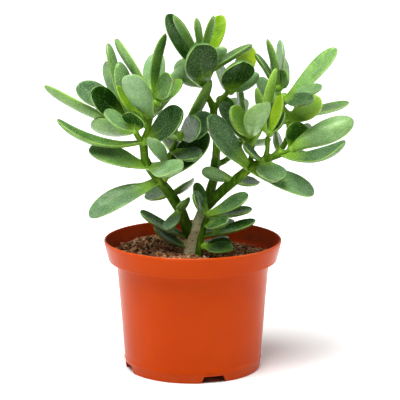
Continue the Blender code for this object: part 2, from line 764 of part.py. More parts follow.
def main():
    clear_scene()
    group = collection(COLLECTION_NAME)
    scratch = collection("cutters")
    plastic = material("orange_plastic", (0.58, 0.10, 0.02), 0.35)
    earth = material("peat_soil", (0.06, 0.035, 0.02), 0.95)
    bark = material("pale_bark", (0.30, 0.26, 0.16), 0.7)
    green_stem = material("green_stem", (0.12, 0.20, 0.05), 0.55)
    green_leaf = material("jade_leaf", (0.10, 0.24, 0.05), 0.3)

    body = pot(group, scratch)
    body.data.materials.append(plastic)

    clearances = {name: grown_stem(name, GAP, scratch) for name in STEMS}
    for name, cutter in clearances.items():
        mark_cutter(cutter)
        cutter.name = name + "_clearance"
    filling = soil(group)
    combine(filling, [clearances["main_stem"], clearances["basal_shoot"]], "DIFFERENCE")
    filling.data.materials.clear()
    filling.data.materials.append(earth)

    stems = {}
    for name, (_, parent) in STEMS.items():
        stem = grown_stem(name, 0.0, group)
        if parent:
            combine(stem, [clearances[parent]], "DIFFERENCE")
        stem.data.materials.clear()
        stem.data.materials.append(bark if name == "main_stem" else green_stem)
        stems[name] = stem

    sets = [(row, [Leaf(row[1], row[2], values) for values in row[3]]) for row in LEAVES]
    make_room(sets)
    leaf_sets = []
    for (name, shoot, place, _), members in sets:
        leaf = leaf_set(name, shoot, place, members, clearances.values(), group, scratch)
        leaf.data.materials.clear()
        leaf.data.materials.append(green_leaf)
        leaf_sets.append(leaf)
    dent(leaf_sets, scratch)
    for ob in (body, filling, *stems.values(), *leaf_sets):
        ob.location = ORIGIN_SHIFT
        ob.data.shade_smooth()
        ob.data.set_sharp_from_angle(angle=math.radians(50))


main()
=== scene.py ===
"""The looks of the potted jade plant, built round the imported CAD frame.

Leaves, soil and pot are modelled finely here in the places that the CAD nodes hold; the stems are the CAD
nodes themselves, smoothed by modifiers. Everything is in metres, +Z up, with the viewer on the -Y side.
"""

import math
from collections import namedtuple

import bmesh
import bpy
import numpy as np
from mathutils import Matrix, Vector, noise
from mathutils.bvhtree import BVHTree


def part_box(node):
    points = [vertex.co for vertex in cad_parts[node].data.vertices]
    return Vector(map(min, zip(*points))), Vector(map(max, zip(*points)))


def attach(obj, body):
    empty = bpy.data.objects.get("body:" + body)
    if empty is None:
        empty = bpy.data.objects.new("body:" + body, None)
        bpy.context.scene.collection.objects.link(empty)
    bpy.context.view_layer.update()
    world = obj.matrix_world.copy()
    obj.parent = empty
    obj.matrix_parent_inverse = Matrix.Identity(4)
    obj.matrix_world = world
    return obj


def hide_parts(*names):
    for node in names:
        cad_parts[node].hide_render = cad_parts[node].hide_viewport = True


MM = 0.001
SEED = 7

# Camera: straight ahead along +Y, tilted down
CAMERA_SIDE = 4.86 * MM             # right of the pot's axis
CAMERA_BACK = 1.370
CAMERA_HEIGHT = 0.400
CAMERA_TILT = math.radians(11.75)
LENS = 186.9                        # millimetres
SENSOR = 36.0
FARTHEST_SEEN = 50

# Studio lights: name, place, width and height, power
LIGHTS = (
    ("left_box", (-1.05, 0.03, 0.45), (0.50, 1.30), 1.4),
    ("right_box", (1.05, -0.02, 0.45), (0.50, 1.30), 3.0),
    ("top_box", (-0.20, -0.38, 1.20), (0.85, 0.85), 23),
)
LIGHTS_AIM_HEIGHT = 0.13
# How bright the surroundings are: direction, where the change starts and ends, brightness before and after
BACKDROP = (("Y", -0.42, -0.20, 0.10, 0.62), ("Z", 0.95, 0.2, 0.70, 1.0))
FLOOR_SIZE = 8.0
FLOOR_DROP = 0.2 * MM

# Leaf sections in the CAD meshes, from the tip back: their sides, and their places along the leaf
LEAF_SIDES = 6
RING_PLACES = (0.955, 0.84, 0.62, 0.36, 0.14)
WIDEST = 0.62
CAD_LIFT = 0.1
CAD_UNDERSIDE = 0.8

# Fine leaves
STATIONS = 36                       # sections along a leaf
ROUND = 28                          # points round each section
CROWDING = 1.25                     # above 1 the sections crowd towards the tip
PETIOLE_SHARE = 0.36
BLUNT_AT = 0.7                      # the leaf thins from here to its tip
LIFT = 0.12                         # how far the margins rise, over the leaf's width
FOLD = 1.5                          # under 2 the blade creases along its middle
TOP_SHARE = 0.2                     # of the thickness above the line of the margins
THICKNESS = 0.82
LEAST_CAD_THICKNESS = 1.6 * MM
LEAST_HALF_WIDTH = 0.15 * MM
LEAST_DEPTH = 0.22 * MM
MARGIN_POWER = 2.7                  # how full the section stays towards the margin
TWIST_REACH = 0.14                  # radians, from the leaf's foot to its tip
LEAN_REACH = 0.05                   # how much wider one side is than the other
RIPPLE_REACH = (0.004, 0.014)       # the margin's waves, over the leaf's width
TONE_REACH = 0.03
JOINT_SHARE = 0.26                  # the joint's radius over the mean width of the stalks
LEAST_JOINT = 1.6 * MM
JOINT_REACH = 0.03                  # how far its points stray, over its radius
JOINT_LOOK = (0.66, 0.1)            # tone, and wax with its painted sheen

# The pot's moulding
POT_HEIGHT = 88.5 * MM
RIM_RADIUS = 60 * MM
BAND_HEIGHT = 14 * MM
BAND_TAPER = 3 * MM
SHOULDER_RADIUS = 51.6 * MM
BASE_RADIUS = 45.7 * MM
WALL = 1.5 * MM
LEDGE_DEPTH = 12.5 * MM
FLOOR_HEIGHT = 5 * MM
LIP_RADIUS = 0.85 * MM
CORNER_RADIUS = 0.7 * MM
DRAIN_HOLE_RADIUS = 6.4 * MM
BEAD = ((8.3, 0.0), (7.7, 0.2), (7.2, 0.42), (6.7, 0.42), (6.2, 0.2), (5.7, 0.0))   # height, how proud; mm
SLOT_COUNT = 4
SLOT_HEIGHT = 4.4 * MM
SLOT_BOTTOM = 18 * MM
SLOT_TOP = 13.5 * MM
SLOT_TURN = math.radians(-72)
SLOT_CUTTER_REACH = 4 * MM
POT_ROUND = 192
SHARP_FROM = math.radians(38)

# Soil
CRUMBS = 3600
LEAST_CRUMB = 0.25 * MM
BIGGEST_CRUMB = 2.1 * MM
FIBRES = 700
FIBRE_POINTS = 7
SOIL_GRID = 140                     # points round the filling
SOIL_RINGS = 60
SOIL_REACH = 55.3 * MM              # the soil spills over the ledge to the rim's inner side
RIM_GAP = 0.8 * MM
LUMP_FINENESS = 420
LUMP_HEIGHT = 0.8 * MM
SPILL = 2.2 * MM
LEDGE_BARE_AT = math.radians(62)
BARE_UNDER = 0.78                   # cosine of the angle at which the ledge starts to show
LEAST_SOIL = 74.5 * MM

# Stems' skin, over the CAD solids
SKIN_VOXEL = 0.45 * MM
RELAX_ROUNDS = 14
SWELLING_SIZE = 7 * MM
SWELLING_HEIGHT = 0.9 * MM

# Colours, linear RGB. Those of the ramps have their places before them.
LEAF_FACE = ((0.0, (0.006, 0.034, 0.001)), (0.25, (0.019, 0.074, 0.002)), (0.5, (0.100, 0.225, 0.009)),
             (0.75, (0.235, 0.385, 0.016)), (1.0, (0.370, 0.510, 0.018)))
LEAF_UNDER_DARK, LEAF_UNDER_BRIGHT = (0.045, 0.120, 0.020), (0.260, 0.430, 0.070)
LEAF_WAX_AND_SHEEN = (0.390, 0.570, 0.380)
LEAF_STALK = (0.260, 0.450, 0.035)
LEAF_MIDDLE = (0.260, 0.450, 0.080)
PORE_PLAIN, PORE_ON_WAX_AND_SHEEN = (0.440, 0.600, 0.350), (0.640, 0.780, 0.600)
LEAF_GRAIN = (0.020, 0.070, 0.006)
MARGIN_LIGHT, MARGIN_RED = (0.400, 0.600, 0.160), (0.130, 0.045, 0.018)
DRY_LEAF = (0.230, 0.150, 0.060)
LEAF_SHEEN = (0.70, 1.0, 0.50, 1.0)
STEM_GREEN = ((0.25, (0.024, 0.066, 0.002)), (0.5, (0.060, 0.140, 0.006)), (0.78, (0.200, 0.330, 0.028)))
STEM_YOUNG = (0.240, 0.420, 0.030)
STEM_BROWN = ((0.35, (0.110, 0.060, 0.026)), (0.65, (0.230, 0.160, 0.070)))
STEM_SCAR = (0.260, 0.240, 0.130)
STEM_SHEEN = (0.75, 1.0, 0.45, 1.0)
BARK = ((0.3, (0.520, 0.450, 0.250)), (0.5, (0.860, 0.830, 0.540)), (0.75, (0.920, 0.900, 0.680)))
BARK_PIT = (0.100, 0.070, 0.036)
POT_ORANGE = ((0.3, (0.405, 0.045, 0.000)), (0.7, (0.445, 0.054, 0.000)))
POT_DUST = (0.500, 0.140, 0.060)
POT_SPECK = (0.140, 0.035, 0.016)
POT_INSIDE_SHADE = (0.110, 0.010, 0.002)
POT_STAIN = (0.090, 0.034, 0.016)
POT_SHEEN = (1.0, 0.55, 0.30, 1.0)
PEAT = ((0.0, (0.030, 0.014, 0.008)), (0.3, (0.200, 0.088, 0.042)), (0.55, (0.440, 0.215, 0.105)),
        (0.78, (0.700, 0.430, 0.250)), (1.0, (0.860, 0.660, 0.450)))
PEAT_DARK = (0.026, 0.014, 0.009)
FLOOR_GREY, FLOOR_PALE = (0.88, 0.88, 0.88), (0.90, 0.90, 0.90)

# How each set's leaves look, from the leftmost leaf tip to the rightmost: (tone from dark to bright
# yellow-green, partly the leaf's own colour and partly painted light and shade, high for lit and backlit
# leaves and low for shaded ones; pale bluish wax, partly the leaf's bloom and partly painted sheen)
LOOKS = {
    "trunk_low_pair": ((0.25, 0.10), (0.20, 0.10)),
    "trunk_high_pair": ((0.15, 0.20), (0.20, 0.10)),
    "left_low_pair": ((0.16, 0.40), (0.20, 0.10)),
    "left_back_pair": ((0.25, 0.30), (0.25, 0.20)),
    "left_fork_pair": ((0.24, 0.45), (0.05, 0.05)),
    "left_folded_pair": ((0.46, 0.45), (0.42, 0.65)),
    "left_long_pair": ((0.35, 0.20), (0.06, 0.15)),
    "left_front_tip": ((0.40, 0.30), (0.38, 0.50), (0.10, 0.00)),
    "left_bright_pair": ((0.62, 0.05), (0.80, 0.00)),
    "left_main_pair": ((0.34, 0.80), (0.48, 0.15)),
    "left_upper_pair": ((0.50, 0.20), (0.42, 0.80)),
    "left_top_tip": ((0.34, 0.30), (0.40, 0.65), (0.10, 0.00), (0.32, 0.25)),
    "left_back_low_pair": ((0.34, 0.20), (0.15, 0.30)),
    "left_back_high_pair": ((0.07, 0.00), (0.38, 0.20)),
    "left_back_tip": ((0.20, 0.40), (0.34, 0.50), (0.32, 0.30), (0.40, 0.20)),
    "middle_low_pair": ((0.32, 0.65), (0.25, 0.20)),
    "middle_high_pair": ((0.30, 0.30), (0.10, 0.20)),
    "middle_tip": ((0.30, 0.30), (0.07, 0.10), (0.55, 0.10), (0.25, 0.35)),
    "centre_oval_pair": ((0.35, 0.60), (0.02, 0.00)),
    "centre_wing_pair": ((0.08, 0.05), (0.36, 0.15)),
    "centre_upper_pair": ((0.66, 0.00), (0.55, 0.60)),
    "centre_top_tip": ((0.34, 0.20), (0.36, 0.20), (0.25, 0.10), (0.42, 0.10)),
    "fork_tip": ((0.20, 0.20), (0.00, 0.00), (0.92, 0.00), (0.35, 0.70)),
    "rear_tip": ((0.25, 0.20), (0.22, 0.20), (0.30, 0.20), (0.25, 0.20)),
    "right_low_pair": ((0.32, 0.55), (0.20, 0.20)),
    "right_big_pair": ((0.14, 0.30), (0.36, 0.60)),
    "right_round_pair": ((0.30, 0.30), (0.30, 0.55)),
    "right_curved_pair": ((0.25, 0.20), (0.15, 0.35)),
    "right_tip": ((0.30, 0.00), (0.26, 0.20), (0.30, 0.30), (0.36, 0.50)),
    "upright_one_pair": ((0.10, 0.20), (0.72, 0.00)),
    "upright_one_tip": ((0.62, 0.25), (0.60, 0.20), (0.48, 0.50)),
    "upright_two_tip": ((0.76, 0.05), (0.32, 0.20), (0.80, 0.05), (0.30, 0.10)),
    "tall_low_pair": ((0.30, 0.20), (0.76, 0.35)),
    "tall_mid_pair": ((0.30, 0.30), (0.44, 0.40)),
    "tall_high_pair": ((0.36, 0.70), (0.48, 0.35)),
    "tall_upper_pair": ((0.09, 0.20), (0.38, 0.50)),
    "tall_top_tip": ((0.30, 0.10), (0.30, 0.15), (0.30, 0.90), (0.36, 0.40), (0.44, 0.20)),
    "basal_tip": ((0.22, 0.10), (0.30, 0.15), (0.30, 0.35), (0.26, 0.10)),
    "basal_high_pair": ((0.20, 0.15), (0.28, 0.15)),
    "basal_mid_pair": ((0.20, 0.15), (0.26, 0.10)),
    "basal_low_pair": ((0.24, 0.15), (0.34, 0.15)),
}
PLAIN_LOOK = (0.25, 0.25)

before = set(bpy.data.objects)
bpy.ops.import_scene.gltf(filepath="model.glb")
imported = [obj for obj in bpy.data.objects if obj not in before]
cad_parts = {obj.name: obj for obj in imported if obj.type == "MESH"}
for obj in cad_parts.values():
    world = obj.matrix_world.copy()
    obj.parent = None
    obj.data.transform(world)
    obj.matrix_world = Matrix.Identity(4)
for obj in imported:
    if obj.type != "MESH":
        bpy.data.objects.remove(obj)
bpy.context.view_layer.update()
pot_low, pot_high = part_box("pot")
AXIS = Vector(((pot_low[0] + pot_high[0]) / 2, (pot_low[1] + pot_high[1]) / 2, 0.0))


# --- small helpers -------------------------------------------------------------------------------------

def add_object(name, mesh):
    ob = bpy.data.objects.new(name, mesh)
    bpy.context.scene.collection.objects.link(ob)
    return ob


def mesh_of(name, verts, faces, smooth=True):
    mesh = bpy.data.meshes.new(name)
    mesh.from_pydata([tuple(v) for v in verts], [], faces)
    mesh.update()
    if smooth:
        mesh.shade_smooth()
    return mesh


def set_material(ob, material):
    ob.data.materials.clear()
    ob.data.materials.append(material)


def stand_for(piece, slot, *nodes):
    """The piece rides on the one body and stands for CAD nodes, which it hides; the slot is not used."""
    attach(piece, "root")
    if nodes:
        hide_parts(*nodes)


class Graph:
    """A material's node tree, built by short calls."""

    def __init__(self, name):
        self.material = bpy.data.materials.new(name)
        self.material.use_nodes = True
        self.tree = self.material.node_tree
        self.shader = self.tree.nodes["Principled BSDF"]
        self.coords = None

    def put(self, socket, value):
        if isinstance(value, bpy.types.NodeSocket):
            self.tree.links.new(value, socket)
        else:
            socket.default_value = value

    def set(self, **values):
        """Values of the shader's own sockets, named with _ for each space."""
        for name, value in values.items():
            self.put(self.shader.inputs[name.replace("_", " ")], value)

    def node(self, kind, **settings):
        made = self.tree.nodes.new(kind)
        for name, value in settings.items():
            setattr(made, name, value)
        return made

    def place(self):
        if self.coords is None:
            self.coords = self.node("ShaderNodeTexCoord").outputs["Object"]
        return self.coords

    def attribute(self, name):
        return self.node("ShaderNodeAttribute", attribute_name=name).outputs["Fac"]

    def stretch(self, scale):
        mapping = self.node("ShaderNodeMapping")
        self.put(mapping.inputs["Vector"], self.place())
        mapping.inputs["Scale"].default_value = scale
        return mapping.outputs["Vector"]

    def noise(self, scale, detail=3.0, rough=0.55, vector=None, distortion=0.0):
        made = self.node("ShaderNodeTexNoise")
        self.put(made.inputs["Vector"], vector or self.place())
        made.inputs["Scale"].default_value = scale
        made.inputs["Detail"].default_value = detail
        made.inputs["Roughness"].default_value = rough
        made.inputs["Distortion"].default_value = distortion
        return made.outputs["Fac"]

    def cells(self, scale):
        """The distance to the nearest of many scattered points."""
        made = self.node("ShaderNodeTexVoronoi", feature="F1")
        self.put(made.inputs["Vector"], self.place())
        made.inputs["Scale"].default_value = scale
        return made.outputs["Distance"]

    def math(self, operation, a, b=0.0, clamp=False):
        made = self.node("ShaderNodeMath", operation=operation, use_clamp=clamp)
        self.put(made.inputs[0], a)
        self.put(made.inputs[1], b)
        return made.outputs[0]

    def span(self, value, low, high, to_low=0.0, to_high=1.0):
        """A smooth step from low to high, or down where low is above high."""
        made = self.node("ShaderNodeMapRange", interpolation_type="SMOOTHSTEP")
        self.put(made.inputs["Value"], value)
        for name, number in (("From Min", low), ("From Max", high), ("To Min", to_low), ("To Max", to_high)):
            made.inputs[name].default_value = number
        return made.outputs["Result"]

    def ramp(self, value, stops):
        made = self.node("ShaderNodeValToRGB")
        self.put(made.inputs["Fac"], value)
        ramp = made.color_ramp
        while len(ramp.elements) < len(stops):
            ramp.elements.new(0.5)
        for element, (place, colour) in zip(ramp.elements, stops):
            element.position = place
            element.color = (*colour, 1.0)
        return made.outputs["Color"]

    def mix(self, share, a, b, blend="MIX"):
        made = self.node("ShaderNodeMix", data_type="RGBA", blend_type=blend)
        self.put(made.inputs["Factor"], share)
        colours = [s for s in made.inputs if s.type == "RGBA"]
        for socket, value in zip(colours, (a, b)):
            self.put(socket, (*value, 1.0) if isinstance(value, tuple) else value)
        return [s for s in made.outputs if s.type == "RGBA"][0]

    def bump(self, height, strength, distance):
        made = self.node("ShaderNodeBump")
        made.inputs["Strength"].default_value = strength
        made.inputs["Distance"].default_value = distance
        self.put(made.inputs["Height"], height)
        self.put(self.shader.inputs["Normal"], made.outputs["Normal"])


# --- materials -----------------------------------------------------------------------------------------

def leaf_material():
    g = Graph("jade_leaf")
    along, across, upper = g.attribute("along"), g.attribute("across"), g.attribute("upper")
    tone, wax_and_sheen = g.attribute("tone"), g.attribute("wax_and_sheen")
    aside = g.math("ABSOLUTE", across)
    patches = g.noise(110, 4, 0.55)
    fine = g.noise(1500, 4, 0.65)
    # The tone is partly the leaf's own colour and partly painted light and shade: lit and backlit leaves have
    # a high tone, shaded ones a low one.
    shade = g.math("ADD", tone, g.math("MULTIPLY", g.math("SUBTRACT", patches, 0.5), 0.55))
    # Painted highlight: the blade is lightened towards its margins, more on brighter leaves.
    painted_rim_highlight = g.math("MULTIPLY", g.span(aside, 0.35, 1.0), g.span(tone, 0.3, 0.8, 0.05, 0.16))
    shade = g.math("ADD", shade, painted_rim_highlight, clamp=True)
    face = g.ramp(shade, LEAF_FACE)
    under = g.mix(shade, LEAF_UNDER_DARK, LEAF_UNDER_BRIGHT)
    colour = g.mix(g.span(upper, -0.25, 0.35), under, face)
    # Pale bluish wax, thinner towards the stalk and rubbed in patches; it is partly the leaf's bloom and
    # partly painted sheen, a reflection of the bright surroundings put into the colour
    bloom_and_sheen = g.math("MULTIPLY", wax_and_sheen, g.span(g.noise(70, 5, 0.65), 0.25, 0.7, 0.45, 1.0))
    colour = g.mix(g.math("MULTIPLY", bloom_and_sheen, 0.66), colour, LEAF_WAX_AND_SHEEN)
    # Towards the stalk the blade is paler, with a pale line along the middle
    stalk = g.span(along, 0.42, 0.05)
    colour = g.mix(g.math("MULTIPLY", stalk, 0.78), colour, LEAF_STALK)
    middle = g.math("MULTIPLY", g.span(aside, 0.10, 0.0), g.span(along, 0.8, 0.1))
    colour = g.mix(g.math("MULTIPLY", middle, 0.35), colour, LEAF_MIDDLE)
    # Pale water pores, scattered finely, and a dark grain between them
    pores = g.span(g.cells(1000), 0.38, 0.12)
    spread = g.span(g.noise(190, 3), 0.32, 0.60)
    pores = g.math("MULTIPLY", pores, spread)
    specks = g.math("MULTIPLY", pores, g.span(wax_and_sheen, 0.0, 0.6, 0.42, 0.65))
    colour = g.mix(specks, colour, g.mix(wax_and_sheen, PORE_PLAIN, PORE_ON_WAX_AND_SHEEN))
    grain = g.math("MULTIPLY", g.span(fine, 0.50, 0.34), 0.38)
    colour = g.mix(grain, colour, LEAF_GRAIN)
    # The margin is a thin light line, reddish brown where the sun has caught it
    edge = g.span(aside, 0.955, 0.995)
    blush = g.span(g.noise(42, 2), 0.55, 0.70)
    rim = g.mix(blush, MARGIN_LIGHT, MARGIN_RED)
    colour = g.mix(g.math("MULTIPLY", edge, 0.55), colour, rim)
    # Dry tips and small scabs
    scab = g.math("MULTIPLY", g.span(g.cells(170), 0.10, 0.04), g.span(g.noise(47, 2), 0.62, 0.70))
    dry = g.math("MULTIPLY", g.span(along, 0.975, 1.0), g.span(g.noise(33, 1), 0.56, 0.66))
    colour = g.mix(g.math("MULTIPLY", g.math("MAXIMUM", scab, dry), 0.7), colour, DRY_LEAF)
    rough = g.math("ADD", g.span(fine, 0.25, 0.75, 0.17, 0.30), g.math("MULTIPLY", bloom_and_sheen, 0.16))
    g.set(Base_Color=colour, Roughness=rough)
    g.set(Specular_IOR_Level=0.36, Specular_Tint=LEAF_SHEEN, Subsurface_Weight=0.08,
          Subsurface_Scale=0.002, Coat_Weight=0.12, Coat_Roughness=0.15)
    g.shader.inputs["Subsurface Radius"].default_value = (0.6, 1.0, 0.2)
    dimple = g.math("ADD", g.math("MULTIPLY", g.noise(170, 3, 0.55), 2.2),
                    g.math("MULTIPLY", g.noise(950, 3, 0.6), 0.55))
    g.bump(g.math("ADD", dimple, g.math("MULTIPLY", pores, -0.12)), 0.50, 0.0006)
    return g.material


def stem_material(name, woody):
    g = Graph(name)
    separate = g.node("ShaderNodeSeparateXYZ")
    g.put(separate.inputs[0], g.place())
    height = separate.outputs["Z"]
    streaks = g.noise(300, 4, 0.6, vector=g.stretch((1.0, 1.0, 0.16)))
    rings = g.noise(520, 3, 0.6, vector=g.stretch((0.14, 0.14, 1.0)), distortion=0.4)
    patches = g.noise(85, 4, 0.6)
    green = g.ramp(streaks, STEM_GREEN)
    brown = g.ramp(patches, STEM_BROWN)
    green = g.mix(g.span(patches, 0.58, 0.75, 0.0, 0.4), green, brown)
    scars = g.span(rings, 0.60, 0.70)
    green = g.mix(g.math("MULTIPLY", scars, 0.35), green, STEM_SCAR)
    if woody:
        bark = g.ramp(rings, BARK)
        bark = g.mix(g.span(g.cells(420), 0.25, 0.05), bark, BARK_PIT)
        level = g.math("ADD", height, g.math("MULTIPLY", g.math("SUBTRACT", patches, 0.5), 0.018))
        young = g.math("MULTIPLY", g.span(height, 0.150, 0.205), 0.7)
        colour = g.mix(g.span(level, 0.092, 0.118), bark, g.mix(young, green, STEM_YOUNG))
    else:
        young = g.span(height, 0.125, 0.190)
        colour = g.mix(g.math("MULTIPLY", young, 0.7), green, STEM_YOUNG)
    g.set(Base_Color=colour, Roughness=g.span(streaks, 0.2, 0.8, 0.38, 0.62))
    g.set(Specular_IOR_Level=0.28, Specular_Tint=STEM_SHEEN, Subsurface_Weight=0.06,
          Subsurface_Scale=0.002)
    relief = g.math("ADD", g.math("MULTIPLY", rings, 0.9), g.math("MULTIPLY", streaks, 0.5))
    g.bump(relief, 0.5 if woody else 0.3, 0.0009)
    return g.material


def pot_material(name, inside):
    """Semi-gloss orange plastic; the inside is darkened all over as painted shade, and stained by soil lower
    down.
    """
    g = Graph(name)
    cloud = g.noise(22, 4, 0.55)
    dust = g.noise(140, 5, 0.65)
    scratch = g.noise(700, 2, 0.5, vector=g.stretch((1.0, 1.0, 0.05)))
    separate = g.node("ShaderNodeSeparateXYZ")
    g.put(separate.inputs[0], g.place())
    height = separate.outputs["Z"]
    colour = g.ramp(cloud, POT_ORANGE)
    # Handling dust sits on the lip and the foot
    lip = g.span(height, 0.0868, 0.0884)
    foot = g.span(height, 0.010, 0.0)
    dusty = g.math("MULTIPLY", g.math("MAXIMUM", lip, g.math("MULTIPLY", foot, 0.6)), g.span(dust, 0.3, 0.75))
    colour = g.mix(g.math("MULTIPLY", dusty, 0.40), colour, POT_DUST)
    specks = g.math("MULTIPLY", g.span(g.cells(260), 0.09, 0.05), g.span(g.noise(60, 2), 0.60, 0.70))
    colour = g.mix(g.math("MULTIPLY", specks, 0.5), colour, POT_SPECK)
    gloss = g.span(scratch, 0.3, 0.8, 0.30, 0.36)
    if inside:
        # Painted shade: the inside is darkened all over towards POT_INSIDE_SHADE; soil stains grow towards
        # the soil line.
        splash = g.span(dust, 0.40, 0.66, 0.0, 0.7)
        low = g.span(height, 0.0870, 0.077, 0.12, 1.0)
        stain = g.math("MULTIPLY", splash, low)
        colour = g.mix(stain, g.mix(0.30, colour, POT_INSIDE_SHADE), POT_STAIN)
        gloss = g.math("ADD", gloss, 0.25)
    g.set(Base_Color=colour, Roughness=g.math("ADD", gloss, g.math("MULTIPLY", dusty, 0.3)))
    g.set(Specular_IOR_Level=0.10, Specular_Tint=POT_SHEEN, Coat_Weight=0.02 if inside else 0.16,
          Coat_Roughness=0.04)
    relief = g.math("ADD", g.math("MULTIPLY", cloud, 1.2), g.math("MULTIPLY", scratch, 0.04))
    g.bump(relief, 0.10, 0.0006)
    return g.material


def soil_material():
    g = Graph("peat_soil")
    tone = g.attribute("tone")
    grain = g.noise(1300, 5, 0.7)
    colour = g.ramp(tone, PEAT)
    colour = g.mix(g.span(grain, 0.35, 0.7, 0.0, 0.30), colour, PEAT_DARK)
    g.set(Base_Color=colour, Roughness=g.span(grain, 0.2, 0.8, 0.8, 0.98), Specular_IOR_Level=0.25)
    g.bump(grain, 0.7, 0.0006)
    return g.material


def floor_material():
    """A pale table, lit from within like a studio's light table, more strongly away from the plant."""
    g = Graph("pale_floor")
    speck = g.noise(30, 3)
    length = g.node("ShaderNodeVectorMath", operation="LENGTH")
    g.put(length.inputs[0], g.place())
    near = g.span(length.outputs["Value"], 0.055, 0.25, 0.0, 0.15)
    glow = g.math("ADD", near, g.span(length.outputs["Value"], 0.15, 1.30, 0.0, 0.48))
    g.set(Base_Color=g.mix(speck, FLOOR_GREY, FLOOR_PALE), Roughness=g.span(speck, 0.0, 1.0, 0.7, 0.8))
    g.set(Specular_IOR_Level=0.2, Emission_Color=(1.0, 1.0, 1.0, 1.0), Emission_Strength=glow)
    return g.material


# --- leaves --------------------------------------------------------------------------------------------

def welded(ob):
    """The places of the object's vertices, doubles merged, and each vertex's neighbours."""
    bm = bmesh.new()
    bm.from_mesh(ob.data)
    bmesh.ops.remove_doubles(bm, verts=bm.verts, dist=0.002 * MM)
    bm.verts.index_update()
    places = np.array([v.co for v in bm.verts])
    links = [{e.other_vert(v).index for e in v.link_edges} for v in bm.verts]
    bm.free()
    return places, links


def rings_behind(tip, links):
    """The closed rings of a leaf's mesh, one after another from its tip vertex."""
    seen, layer, rings = {tip}, {tip}, []
    while len(rings) < len(RING_PLACES):
        following = set().union(*(links[v] for v in layer)) - seen
        if len(following) != LEAF_SIDES or any(len(links[v] & following) < 2 for v in following):
            break
        rings.append(sorted(following))
        seen |= following
        layer = following
    return rings


Section = namedtuple("Section", "middle up width depth")


def section(points, way):
    """A ring's middle, the way its upper side faces, its width and its depth."""
    gaps = np.linalg.norm(points[:, None] - points[None], axis=2)
    i, j = np.unravel_index(gaps.argmax(), gaps.shape)
    width = gaps[i, j]
    middle = (points[i] + points[j]) / 2
    across = (points[i] - points[j]) / width
    up = np.cross(across, way)
    up /= np.linalg.norm(up)
    heights = (points - middle) @ up
    if abs(heights.min()) < abs(heights.max()):
        up, heights = -up, -heights
    lift = CAD_LIFT * width
    depth = (-heights.min() - lift) / CAD_UNDERSIDE
    return Section(middle - up * lift, up, width, depth)


def find_leaves(node):
    """Each leaf of a CAD node: where its middle runs, how it is turned, its width and its thickness."""
    places, links = welded(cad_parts[node])
    found, used = [], set()
    for tip in range(len(places)):
        if len(links[tip]) != LEAF_SIDES:
            continue
        rings = rings_behind(tip, links)
        if len(rings) < 3:
            continue
        centres = [places[r].mean(axis=0) for r in rings]
        away = [np.linalg.norm(places[tip] - c) for c in centres]
        sizes = [np.ptp(places[r], axis=0).max() for r in rings]
        if sizes[0] > sizes[1] or not away[0] < away[1] < away[2]:
            continue
        found.append((tip, rings))
        used.update([tip], *rings)
    rest = [i for i in range(len(places)) if i not in used]
    joint = places[rest].mean(axis=0)
    leaves = []
    for tip, rings in found:
        way = places[tip] - joint
        way /= np.linalg.norm(way)
        cuts = [section(places[r], way) for r in rings]
        leaves.append({"tip": places[tip], "joint": joint, "cuts": cuts})
    leaves.sort(key=lambda leaf: tuple(np.round(leaf["tip"], 4)))
    return leaves


def smooth_through(knots, values, at):
    """Values along a smooth curve through the knots (finite-difference tangents)."""
    knots = np.asarray(knots, float)
    values = np.asarray(values, float)
    slopes = np.gradient(values, knots, axis=0)
    out = []
    for t in at:
        k = int(np.clip(np.searchsorted(knots, t) - 1, 0, len(knots) - 2))
        h = knots[k + 1] - knots[k]
        s = (t - knots[k]) / h
        a, b = 2 * s**3 - 3 * s**2 + 1, s**3 - 2 * s**2 + s
        leaving = a * values[k] + b * h * slopes[k]
        arriving = (1 - a) * values[k + 1] + (s**3 - s**2) * h * slopes[k + 1]
        out.append(leaving + arriving)
    return np.array(out)


def blade_share(t):
    """The leaf's half-width at t as a share of its widest: a stalk, a full middle and a round end."""
    rise = PETIOLE_SHARE + (1 - PETIOLE_SHARE) * np.sin(np.pi / 2 * np.minimum(t / WIDEST, 1.0)) ** 1.6
    end = np.sqrt(np.clip(1 - (np.maximum(t - WIDEST, 0) / (1 - WIDEST)) ** 2.15, 0, 1))
    return rise * end


def thickness_share(t):
    """The leaf's thickness at t as a share of its thickest."""
    grow = 0.62 + 0.38 * np.sin(np.pi / 2 * np.minimum(t / 0.45, 1.0))
    end = np.sqrt(np.clip(1 - (np.maximum(t - BLUNT_AT, 0) / (1 - BLUNT_AT)) ** 2.6, 0, 1))
    return grow * end


